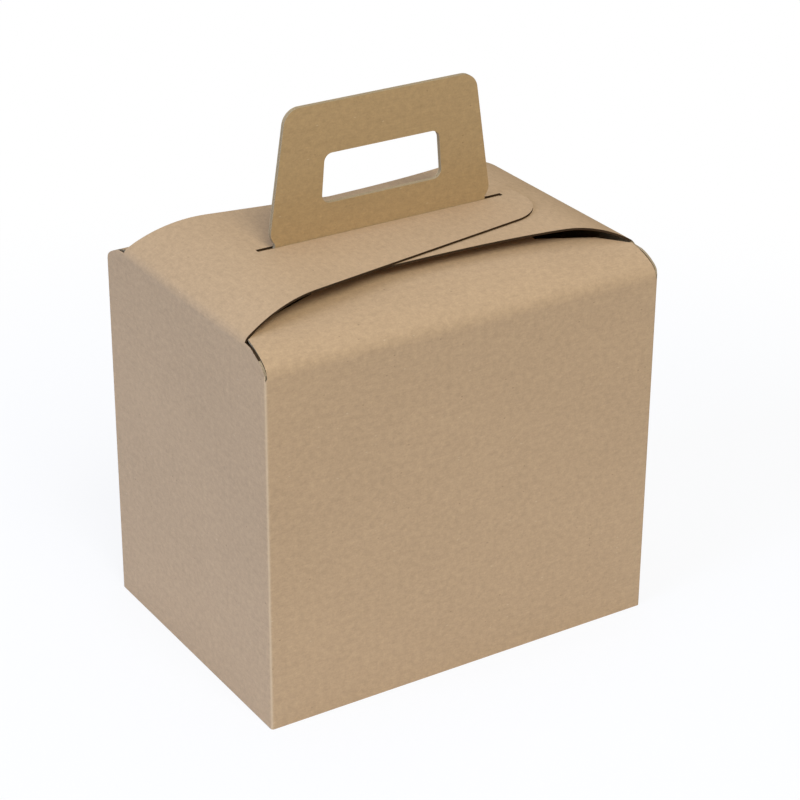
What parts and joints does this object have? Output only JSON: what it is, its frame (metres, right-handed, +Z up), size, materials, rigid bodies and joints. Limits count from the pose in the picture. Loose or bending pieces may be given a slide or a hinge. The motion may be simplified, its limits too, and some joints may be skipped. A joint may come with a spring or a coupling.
{
  "type": "kraft lunch box with handle",
  "caption": "Folded kraft board lunch box with a bent-over roof, slotted end flaps and an upright carrying handle with a hand hole.",
  "frame": {"origin": "middle of the base, on the surface that the box stands on", "axes": "+X along the front panel towards the inner flap's crease, +Y from the front panel to the back panel, +Z up towards the handle"},
  "size_m": [0.25, 0.18, 0.316],
  "materials": {
    "kraft_board": "matt brown micro-flute board, faint streaks along the flutes, pale cut edges",
    "kraft_board_flap": "matt brown micro-flute board, faint streaks along the flutes, pale cut edges"
  },
  "bodies": {
    "carton": {"carton": "kraft_board"},
    "outer_flap": {"outer_flap": "kraft_board_flap"}
  },
  "joints": [
    {"name": "outer_flap_crease", "type": "hinge", "parent": "carton", "child": "outer_flap", "pos_m": [-0.1244, 0, 0.2244], "axis": [0, -1, 0], "range_deg": [0, 170]}
  ]
}
